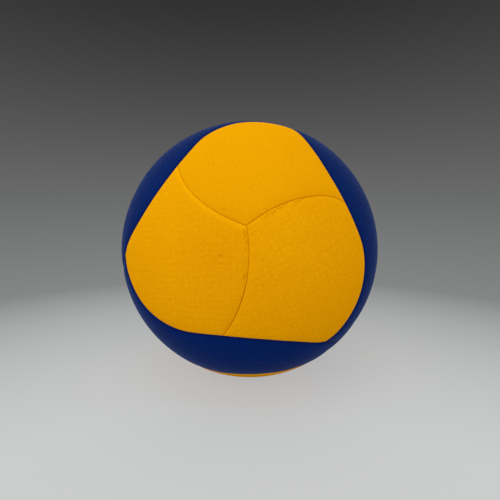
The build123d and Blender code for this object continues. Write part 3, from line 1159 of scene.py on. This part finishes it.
def sponge(finish):
    """Closed-cell foam: small round cells and a slow change of tone."""
    material, tree, shader = new_material("foam_backing", Roughness=0.9, Specular_IOR_Level=0.2)
    marks = place_group(tree, "handling_marks", Clouds=40.0, Specks=300.0, Speck_Size=0.3)
    near = cells(tree, object_place(tree), FOAM_CELLS)
    dark, pale = (opaque(finish.foam, tone) for tone in FOAM_TONES)
    base = mix_colours(tree, marks.outputs["Tone"], dark, pale)
    pitted = mix_colours(tree, marks.outputs["Dirt"], base, opaque(finish.foam, FOAM_PIT_TONE))
    tree.links.new(pitted, shader.inputs["Base Color"])
    bumped(tree, shader, near, FOAM_RELIEF)
    return material


def rubber(name, rgb, roughness, pebbles, relief):
    """Moulded rubber: mottled, with a fine grain, and dusty specks."""
    material, tree, shader = new_material(name, Specular_IOR_Level=0.4)
    marks = place_group(tree, "handling_marks", Clouds=90.0, Specks=220.0, Speck_Size=0.08)
    grain = place_group(tree, "pebbled_grain", Pebbles=pebbles)
    dark, pale = (opaque(rgb, tone) for tone in RUBBER_TONES)
    mottled = mix_colours(tree, marks.outputs["Tone"], dark, pale)
    dust = math(tree, "MULTIPLY", marks.outputs["Dirt"], DUST_SHARE)
    dusty = mix_colours(tree, dust, mottled, opaque(DUST))
    tree.links.new(dusty, shader.inputs["Base Color"])
    smoothest, roughest = roughness - RUBBER_ROUGHNESS_SWING, roughness + RUBBER_ROUGHNESS_SWING
    spread = {"Value": marks.outputs["Tone"], "To Min": smoothest, "To Max": roughest}
    tree.links.new(add_node(tree, "ShaderNodeMapRange", spread).outputs[0], shader.inputs["Roughness"])
    bumped(tree, shader, grain.outputs["Height"], relief)
    return material


def wound_thread(finish):
    """Thread wound at three slants: bands across three directions, of which the highest shows."""
    even = {"Roughness": 0.7, "Specular_IOR_Level": 0.25, "Sheen_Weight": 0.2}
    material, tree, shader = new_material("wound_thread", **even)
    place = object_place(tree)
    highest = None
    for slant in THREAD_SLANTS:
        aimed = add_node(tree, "ShaderNodeMapping", {"Vector": place, "Rotation": slant}).outputs[0]
        inputs = {"Vector": aimed, "Scale": 320.0, "Distortion": 1.5, "Detail": 1.0, "Detail Scale": 0.2}
        band = add_node(tree, "ShaderNodeTexWave", inputs).outputs["Fac"]
        highest = band if highest is None else math(tree, "MAXIMUM", highest, band)
    strands = mix_colours(tree, highest, opaque(finish.thread, THREAD_SHADE), opaque(finish.thread))
    tree.links.new(strands, shader.inputs["Base Color"])
    bumped(tree, shader, highest, THREAD_RELIEF)
    return material


# The stage


def looked_at(tree):
    """1 for rays that come from the camera, a mirror or glass, and 0 for the rays that light things."""
    rays = add_node(tree, "ShaderNodeLightPath").outputs
    mirrored = math(tree, "MAXIMUM", rays["Is Glossy Ray"], rays["Is Transmission Ray"])
    return math(tree, "MAXIMUM", rays["Is Camera Ray"], mirrored)


def add_floor(stage, height):
    """A round floor of rings that widen by equal ratios, with a painted pool of light in front of the ball:
    its tone falls with one over the distance from the pool's middle, and evenly from the pool's heart to its
    end.
    Where it is looked at, a share of its tone is a glow that the ball doesn't shade."""
    turns = np.linspace(0, 2 * pi, FLOOR_SPOKES + 1)
    rings = np.concatenate([[0], np.geomspace(FLOOR_INNER_RING, stage.floor_radius, FLOOR_RINGS)])
    across = rings[:, None] * np.cos(turns)
    along = rings[:, None] * np.sin(turns)
    points = np.stack([across, along, np.full_like(across, height)], axis=-1)
    index = np.arange(across.size).reshape(across.shape)
    mesh = merged(make_mesh("floor", points.reshape(-1, 3), [(grid_faces(index), True)]))
    material, tree, shader = new_material("pale_floor", Roughness=0.9, Specular_IOR_Level=0.0)
    place = object_place(tree)
    middle = (0.0, -stage.pool_front, height)
    off = add_node(tree, "ShaderNodeVectorMath", {0: place, 1: middle}, operation="DISTANCE").outputs["Value"]
    paler = math(tree, "ADD", math(tree, "DIVIDE", stage.floor_fade, off), 1.0)
    around = {0: stage.floor_far, "Scale": paler}
    outside = add_node(tree, "ShaderNodeVectorMath", around, operation="SCALE").outputs["Vector"]
    reach = {"Value": off, "From Min": stage.pool_radius, "From Max": stage.pool_heart}
    pool = add_node(tree, "ShaderNodeMapRange", reach).outputs[0]
    paint = mix_colours(tree, pool, outside, opaque(stage.floor_near))
    bounce = mix_colours(tree, stage.floor_bounce, opaque(BLACK), paint)
    tree.links.new(bounce, shader.inputs["Base Color"])
    glow = add_node(tree, "ShaderNodeEmission", {"Color": paint, "Strength": FLOOR_STRENGTH}).outputs[0]
    share_seen = math(tree, "MULTIPLY", looked_at(tree), stage.floor_glow)
    both = add_node(tree, "ShaderNodeMixShader", {0: share_seen, 1: shader.outputs[0], 2: glow}).outputs[0]
    tree.links.new(both, tree.nodes["Material Output"].inputs["Surface"])
    mesh.materials.append(material)
    floor = add_object("floor", mesh)


def add_lamp(name, light, spread, tint=WHITE):
    """A soft far lamp that shines on the ball from its place."""
    place = Vector(LAMP_PLACES[name])
    lamp = bpy.data.lights.new(name, "SUN")
    lamp.color = tint
    lamp.angle = spread
    lamp.energy = light
    holder = add_object(name, lamp)
    holder.location = place
    holder.rotation_euler = (-place).to_track_quat("-Z", "Y").to_euler()


def add_world(scene, stage):
    """Even light all round, and a plain background that darkens upwards where it is looked at."""
    world = bpy.data.worlds.new("studio")
    world.use_nodes = True
    tree = world.node_tree
    tree.nodes.clear()
    towards = add_node(tree, "ShaderNodeTexCoord").outputs["Generated"]
    height = add_node(tree, "ShaderNodeSeparateXYZ", {0: towards}).outputs["Z"]
    fall = {"Value": height, "From Min": stage.sky_height, "From Max": 0.0}
    left = add_node(tree, "ShaderNodeMapRange", fall).outputs[0]
    tone = math(tree, "POWER", left, SKY_POWER)
    paint = mix_colours(tree, tone, opaque(BLACK), opaque(stage.sky_low))
    seen = add_node(tree, "ShaderNodeBackground", {"Color": paint}).outputs[0]
    light = {"Color": opaque(WHITE), "Strength": stage.ambient}
    even = add_node(tree, "ShaderNodeBackground", light).outputs[0]
    both = add_node(tree, "ShaderNodeMixShader", {0: looked_at(tree), 1: even, 2: seen}).outputs[0]
    add_node(tree, "ShaderNodeOutputWorld", {"Surface": both})
    scene.world = world


def add_camera(scene, stage):
    """The photograph's view: from the front, a little above the ball's middle, close by."""
    camera = bpy.data.cameras.new("camera")
    camera.lens = stage.lens
    camera.shift_x = stage.shift_right
    camera.shift_y = stage.shift_up
    camera.clip_start = 0.01
    rise, turn = stage.camera_rise, stage.camera_turn
    back = Vector((sin(turn) * cos(rise), -cos(turn) * cos(rise), sin(rise)))
    holder = add_object("camera", camera)
    holder.location = back * stage.camera_distance
    holder.rotation_euler = (-back).to_track_quat("-Z", "Y").to_euler()
    scene.camera = holder


# Operators, one for each group of like pieces and one for the stage


class VOLLEYBALL_OT_yellow_covers(bpy.types.Operator):
    """Builds the twelve yellow covers, three round each hub"""

    bl_idname = "volleyball.yellow_covers"
    bl_label = "Yellow covers"

    def execute(self, context):
        scene = context.scene
        shape = scene.volleyball_covers
        radius = shape.ball_radius
        seams = find_seams(scene.volleyball_seams)
        sides = yellow_sides(seams, shape.seam_gap / 2 / radius)
        directions = cover_grid(shape, sides)
        leading, *edges, trailing = sides
        to_leading = seam_distance([leading], directions) * radius
        to_trailing = seam_distance([trailing], directions) * radius
        to_edge = seam_distance(edges, directions) * radius
        from_hub = between(directions, seams.hub) * radius
        distance = np.minimum(np.minimum(to_leading, to_trailing), to_edge)
        flat = flattened(directions, seams.hub, seams.bands[0], radius)
        hollows = dimples(shape, flat, shape.yellow_dimple_turn, distance)
        depth = cover_depth(shape, distance)
        run = along_arc(trailing[0], directions) * radius
        material = yellow_microfibre(scene.volleyball_finish)
        random = np.random.default_rng(PUCKER_SEED)
        for place, carry in yellow_places(seams):
            puckers = FRONT_PUCKERS.get(place) or drawn_puckers(random)
            kept = FRONT_WEAR.get(place) or random.uniform(*DRAWN_WEAR)
            folds = pucker_depth(shape, run, to_trailing, puckers)
            name = f"yellow_microfibre_{place}"
            placed = strayed(carry(directions), seams, radius)
            # Painted highlights: the hollows, the lip along the leading seam and the edge beside blue
            lip = FRONT_LIP_HIGHLIGHTS.get(place, 0) * nearness(to_leading, shape.lip_highlight_reach)
            # Painted shade in the seams and folds, with specks of dirt and a broad faint darkening
            shades_and_specks = [
                trailing_seam_shade(place_before(place), from_hub) * nearness(to_leading, shape.seam_shade_reach),
                trailing_seam_shade(place, from_hub) * nearness(to_trailing, shape.seam_shade_reach),
                folds / shape.pucker_shade,
                specks_and_darkening(placed, seams, radius),
            ]
            marks = {
                "hollow": kept * hollows,
                "crease": np.max(shades_and_specks, axis=0),
                "edge": np.maximum(nearness(to_edge, shape.edge_reach), lip),
                "grain": np.full_like(distance, kept),
            }
            radii = radius - depth - folds - shape.dimple_depth * kept * hollows
            mesh = shell_mesh(name, placed, radii, radius - shape.thickness, shape.inner_stride, marks)
            add_piece(name, mesh, f"yellow_cover_{place}", material)
        return {"FINISHED"}


class VOLLEYBALL_OT_blue_covers(bpy.types.Operator):
    """Builds the six blue covers, one on each band, with the valve's hole in the rear high one"""

    bl_idname = "volleyball.blue_covers"
    bl_label = "Blue covers"

    def execute(self, context):
        scene = context.scene
        shape, valve = scene.volleyball_covers, scene.volleyball_valve
        radius = shape.ball_radius
        seams = find_seams(scene.volleyball_seams)
        sides = blue_sides(seams, shape.seam_gap / 2 / radius)
        directions = cover_grid(shape, sides)
        to_seam = seam_distance(sides, directions) * radius
        to_middle = between(directions, seams.bands[0]) * radius
        to_hole = np.minimum(to_seam, np.abs(to_middle - valve_hole_radius(valve)))
        flat = flattened(directions, seams.bands[0], seams.hub, radius)
        material = blue_microfibre(scene.volleyball_finish)
        for place, carry in blue_places(seams):
            distance = to_hole if place == VALVE_BAND else to_seam
            hollows = dimples(shape, flat, shape.blue_dimple_turn, distance)
            radii = radius - cover_depth(shape, distance) - shape.dimple_depth * hollows
            # Painted highlights in the hollows, and painted shade within reach of the seams and the valve's
            # hole
            marks = {
                "hollow": hollows,
                "crease": nearness(distance, shape.blue_seam_shade_reach),
                "grain": np.full_like(distance, FRONT_GRAIN.get(place, BLUE_GRAIN)),
            }
            name = f"blue_microfibre_{place}"
            placed = strayed(carry(directions), seams, radius)
            mesh = shell_mesh(name, placed, radii, radius - shape.thickness, shape.inner_stride, marks)
            piece = add_piece(name, mesh, f"blue_cover_{place}", material)
            if place == VALVE_BAND:
                cut_valve_hole(piece, radius, seams, valve)
        return {"FINISHED"}


class VOLLEYBALL_OT_foam_backing(bpy.types.Operator):
    """Builds the foam pad under each cover"""

    bl_idname = "volleyball.foam_backing"
    bl_label = "Foam backing"

    def execute(self, context):
        scene = context.scene
        covers, foam, valve = scene.volleyball_covers, scene.volleyball_foam, scene.volleyball_valve
        radius = covers.ball_radius - covers.thickness
        setback = foam.seam_gap / 2 / radius
        seams = find_seams(scene.volleyball_seams)
        material = sponge(scene.volleyball_finish)
        kinds = (
            ("yellow", yellow_sides(seams, setback), yellow_places(seams)),
            ("blue", blue_sides(seams, setback), blue_places(seams)),
        )
        for kind, sides, places in kinds:
            directions = stretched_grid(sides, foam.grid_step / radius, 1)
            distance = seam_distance(sides, directions) * radius
            radii = radius - edge_roll(distance, foam.edge_drop, foam.edge_reach)
            for place, carry in places:
                name = f"foam_pad_{kind}_{place}"
                placed = strayed(carry(directions), seams, radius)
                mesh = shell_mesh(name, placed, radii, radius - foam.thickness, 1, {})
                piece = add_piece(name, mesh, f"{kind}_foam_{place}", material)
                if place == VALVE_BAND:
                    cut_valve_hole(piece, radius, seams, valve)
        return {"FINISHED"}


class VOLLEYBALL_OT_valve(bpy.types.Operator):
    """Builds the valve's housing and the plug that takes the needle"""

    bl_idname = "volleyball.valve"
    bl_label = "Valve"

    def execute(self, context):
        scene = context.scene
        axis = valve_axis(find_seams(scene.volleyball_seams))
        valve = scene.volleyball_valve
        finish = scene.volleyball_finish
        material = rubber("valve_rubber", finish.valve, roughness=0.5, pebbles=1800.0, relief=0.04 * MM)
        outlines = valve_outlines(valve, scene.volleyball_covers.ball_radius)
        for name, node in (("valve_stem", "valve_housing"), ("valve_plug", "valve_core")):
            outline = rounded_profile(outlines[node], valve.lip_round, valve.round_steps)
            mesh = merged(revolved_mesh(name, outline, axis, valve.segments))
            add_piece(name, mesh, node, material)
        return {"FINISHED"}


class VOLLEYBALL_OT_inner_layers(bpy.types.Operator):
    """Gives the carcass, the winding, the bladder and the valve's patch their materials"""

    bl_idname = "volleyball.inner_layers"
    bl_label = "Inner layers"

    def execute(self, context):
        finish = context.scene.volleyball_finish
        bladder = rubber("bladder_rubber", finish.bladder, roughness=0.45, pebbles=900.0, relief=0.05 * MM)
        carcass = rubber("carcass_rubber", finish.carcass, roughness=0.6, pebbles=1200.0, relief=0.05 * MM)
        materials = {
            "carcass": carcass,
            "thread_winding": wound_thread(finish),
            "bladder": bladder,
            "valve_patch": bladder,
        }
        for node, material in materials.items():
            for place in frame["nodes"][node].material_slots:
                place.material = material
        return {"FINISHED"}


class VOLLEYBALL_OT_stage(bpy.types.Operator):
    """Sets the floor, the lamps, the background and the camera"""

    bl_idname = "volleyball.stage"
    bl_label = "Stage"

    def execute(self, context):
        scene = context.scene
        stage = scene.volleyball_stage
        add_floor(stage, -scene.volleyball_covers.ball_radius)
        add_lamp("side_lamp", stage.side_light, stage.lamp_spread)
        add_lamp("front_lamp", stage.front_light, stage.lamp_spread)
        add_lamp("top_lamp", stage.top_light, stage.lamp_spread, stage.top_tint)
        add_world(scene, stage)
        add_camera(scene, stage)
        scene.view_settings.view_transform = "Standard"
        return {"FINISHED"}


# The add-on's panel and its registration


SETTINGS = {
    "volleyball_seams": SeamLayout,
    "volleyball_covers": CoverShape,
    "volleyball_foam": FoamShape,
    "volleyball_valve": ValveShape,
    "volleyball_finish": BallFinish,
    "volleyball_stage": BallStage,
}
OPERATORS = (
    VOLLEYBALL_OT_yellow_covers,
    VOLLEYBALL_OT_blue_covers,
    VOLLEYBALL_OT_foam_backing,
    VOLLEYBALL_OT_valve,
    VOLLEYBALL_OT_inner_layers,
    VOLLEYBALL_OT_stage,
)


class VOLLEYBALL_PT_sidebar(bpy.types.Panel):
    """Lists the ball's operators and settings in the 3D view's sidebar"""

    bl_idname = "VOLLEYBALL_PT_sidebar"
    bl_label = "Volleyball"
    bl_space_type = "VIEW_3D"
    bl_region_type = "UI"
    bl_category = "Volleyball"

    def draw(self, context):
        for operator in OPERATORS:
            self.layout.operator(operator.bl_idname)
        for name, group in SETTINGS.items():
            box = self.layout.box()
            box.label(text=group.__name__)
            for setting in group.__annotations__:
                box.prop(getattr(context.scene, name), setting)


CLASSES = (*SETTINGS.values(), *OPERATORS, VOLLEYBALL_PT_sidebar)


def register():
    """Registers the classes and hangs the settings on the scene."""
    for entry in CLASSES:
        bpy.utils.register_class(entry)
    for name, group in SETTINGS.items():
        setattr(bpy.types.Scene, name, PointerProperty(type=group))


def unregister():
    """Takes the settings off the scene and the classes out again."""
    for name in SETTINGS:
        delattr(bpy.types.Scene, name)
    for entry in reversed(CLASSES):
        bpy.utils.unregister_class(entry)


def main():
    """Builds the whole ball and its stage."""
    register()
    bpy.ops.volleyball.yellow_covers()
    bpy.ops.volleyball.blue_covers()
    bpy.ops.volleyball.foam_backing()
    bpy.ops.volleyball.valve()
    bpy.ops.volleyball.inner_layers()
    bpy.ops.volleyball.stage()


if __name__ == "__main__":
    main()
